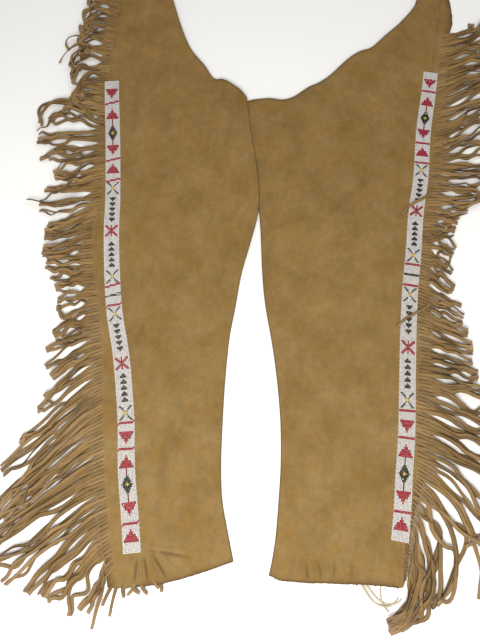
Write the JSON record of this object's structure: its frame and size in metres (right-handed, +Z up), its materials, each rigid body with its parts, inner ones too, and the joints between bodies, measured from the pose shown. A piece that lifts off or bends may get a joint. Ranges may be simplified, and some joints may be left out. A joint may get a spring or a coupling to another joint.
{
  "type": "fringed leather chaps",
  "caption": "Pair of golden hide chaps laid flat, one leg lapping the other at the crotch, with long fringe down the outer sides, beaded side bands and belt loops on the hip tabs",
  "frame": {"origin": "on the surface the pair lies on, under the middle of its outline", "axes": "X across the pair to the right as seen from above with the waist away, Y from hem to waist, Z up from the surface"},
  "size_m": [0.8598, 1.1856, 0.0095],
  "materials": {
    "hide": "matt suede with a short uneven nap",
    "fringe_hide": "matt suede cut into strands, darker at the cut edges",
    "beads": "opaque glass seed beads, mostly white with crimson, black and yellow figures"
  },
  "bodies": {
    "root": {"leg_left": "hide", "leg_right": "hide", "fringe_left": "fringe_hide", "fringe_right": "fringe_hide", "bead_band_left": "beads", "bead_band_right": "beads", "belt_loop_left": "hide", "belt_loop_right": "hide"}
  },
  "joints": []
}
